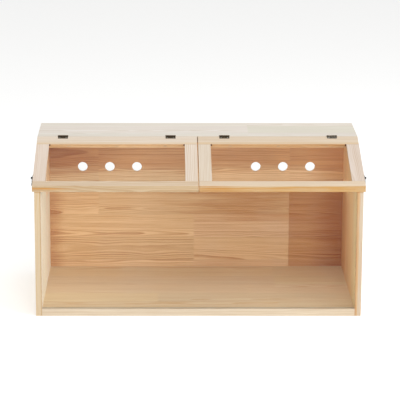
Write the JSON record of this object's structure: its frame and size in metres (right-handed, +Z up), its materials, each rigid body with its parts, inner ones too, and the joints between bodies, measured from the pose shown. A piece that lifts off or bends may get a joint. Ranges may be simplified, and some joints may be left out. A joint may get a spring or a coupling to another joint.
{
  "type": "hamster cage",
  "caption": "Wooden hamster cage with a clear front pane, a flat roof board and two sloping, hinged lids with clear windows and side hook latches.",
  "frame": {"origin": "middle of the footprint, on the surface the cage stands on", "axes": "+X to the right along the front, +Y to the back, +Z up"},
  "size_m": [0.8218, 0.404, 0.4031],
  "materials": {
    "cabinet_pine": "clear-oiled pine board",
    "lid_pine": "clear-oiled pine strip",
    "clear_pane": "clear acrylic sheet",
    "hinge_metal": "dark antique bronze",
    "latch_metal": "dark plated steel",
    "steel_screw": "bright zinc",
    "dowel_beech": "plain beech"
  },
  "bodies": {
    "cabinet": {"back_panel": "cabinet_pine", "cabinet_screws": "steel_screw", "floor_panel": "cabinet_pine", "front_rail": "cabinet_pine", "front_window": "clear_pane", "left_inner_hinge_pin": "hinge_metal", "left_inner_hinge_roof_leaf": "hinge_metal", "left_latch_stud": "latch_metal", "left_outer_hinge_pin": "hinge_metal", "left_outer_hinge_roof_leaf": "hinge_metal", "left_side_panel": "cabinet_pine", "right_inner_hinge_pin": "hinge_metal", "right_inner_hinge_roof_leaf": "hinge_metal", "right_latch_stud": "latch_metal", "right_outer_hinge_pin": "hinge_metal", "right_outer_hinge_roof_leaf": "hinge_metal", "right_side_panel": "cabinet_pine", "roof_board": "cabinet_pine", "roof_dowels": "dowel_beech", "roof_hinge_screws": "steel_screw"},
    "left_lid": {"left_inner_hinge_lid_leaf": "hinge_metal", "left_latch_plate": "latch_metal", "left_latch_rivet": "latch_metal", "left_latch_screws": "steel_screw", "left_lid_bottom_rail": "lid_pine", "left_lid_glazing_points": "steel_screw", "left_lid_hinge_screws": "steel_screw", "left_lid_inner_stile": "lid_pine", "left_lid_outer_stile": "lid_pine", "left_lid_top_rail": "lid_pine", "left_lid_window": "clear_pane", "left_outer_hinge_lid_leaf": "hinge_metal"},
    "right_lid": {"right_inner_hinge_lid_leaf": "hinge_metal", "right_latch_plate": "latch_metal", "right_latch_rivet": "latch_metal", "right_latch_screws": "steel_screw", "right_lid_bottom_rail": "lid_pine", "right_lid_glazing_points": "steel_screw", "right_lid_hinge_screws": "steel_screw", "right_lid_inner_stile": "lid_pine", "right_lid_outer_stile": "lid_pine", "right_lid_top_rail": "lid_pine", "right_lid_window": "clear_pane", "right_outer_hinge_lid_leaf": "hinge_metal"},
    "left_hook": {"left_latch_hook": "latch_metal"},
    "right_hook": {"right_latch_hook": "latch_metal"}
  },
  "joints": [
    {"name": "left_lid_hinge", "type": "hinge", "parent": "cabinet", "child": "left_lid", "pos_m": [-0.204, 0.03978, 0.4016], "axis": [-1, 0, 0], "range_deg": [0, 195]},
    {"name": "left_hook_pivot", "type": "hinge", "parent": "left_lid", "child": "left_hook", "pos_m": [-0.40735, -0.15019, 0.33766], "axis": [1, 0, 0], "range_deg": [-100, 35]},
    {"name": "right_lid_hinge", "type": "hinge", "parent": "cabinet", "child": "right_lid", "pos_m": [0.204, 0.03978, 0.4016], "axis": [-1, 0, 0], "range_deg": [0, 195]},
    {"name": "right_hook_pivot", "type": "hinge", "parent": "right_lid", "child": "right_hook", "pos_m": [0.40735, -0.15019, 0.33766], "axis": [1, 0, 0], "range_deg": [-100, 35]}
  ]
}
